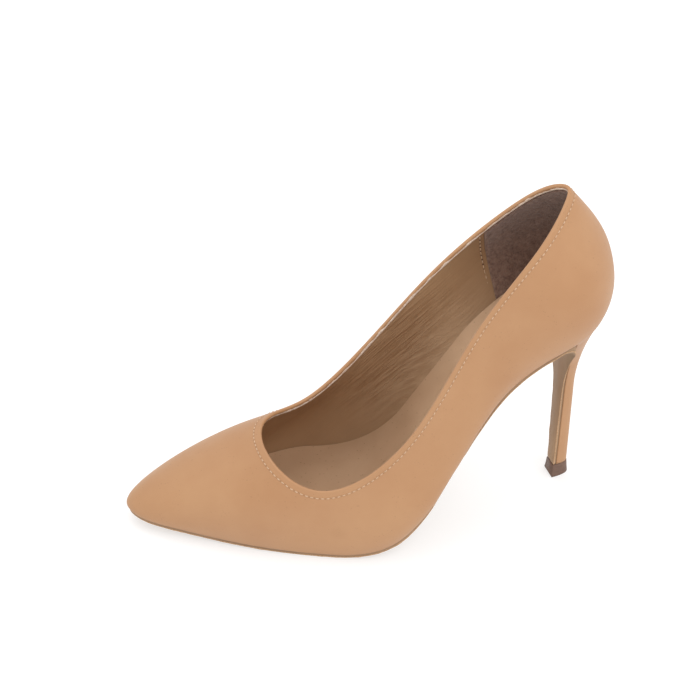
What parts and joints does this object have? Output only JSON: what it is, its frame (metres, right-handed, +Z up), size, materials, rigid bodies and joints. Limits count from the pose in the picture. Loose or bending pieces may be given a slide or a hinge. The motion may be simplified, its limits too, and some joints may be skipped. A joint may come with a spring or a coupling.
{
  "type": "stiletto pump",
  "caption": "Pointed-toe high-heeled pump for the left foot with a slim covered heel, deep U-shaped throat and plain smooth leather upper",
  "frame": {"origin": "centre of the bounding box on the floor the shoe stands on", "axes": "+X toward the toe, +Y toward the outside of the foot (the wearer's left), +Z up"},
  "size_m": [0.204, 0.0796, 0.1483],
  "materials": {
    "upper_leather": "smooth nude-tan leather, soft sheen",
    "insole": "matt taupe sock lining over board",
    "outsole": "smooth taupe sole leather",
    "heel_cover": "moulded stem covered in the upper's leather",
    "top_piece": "hard brown plastic"
  },
  "bodies": {
    "root": {"upper": "upper_leather", "insole": "insole", "outsole": "outsole", "heel": "heel_cover", "heel_tip": "top_piece"}
  },
  "joints": []
}
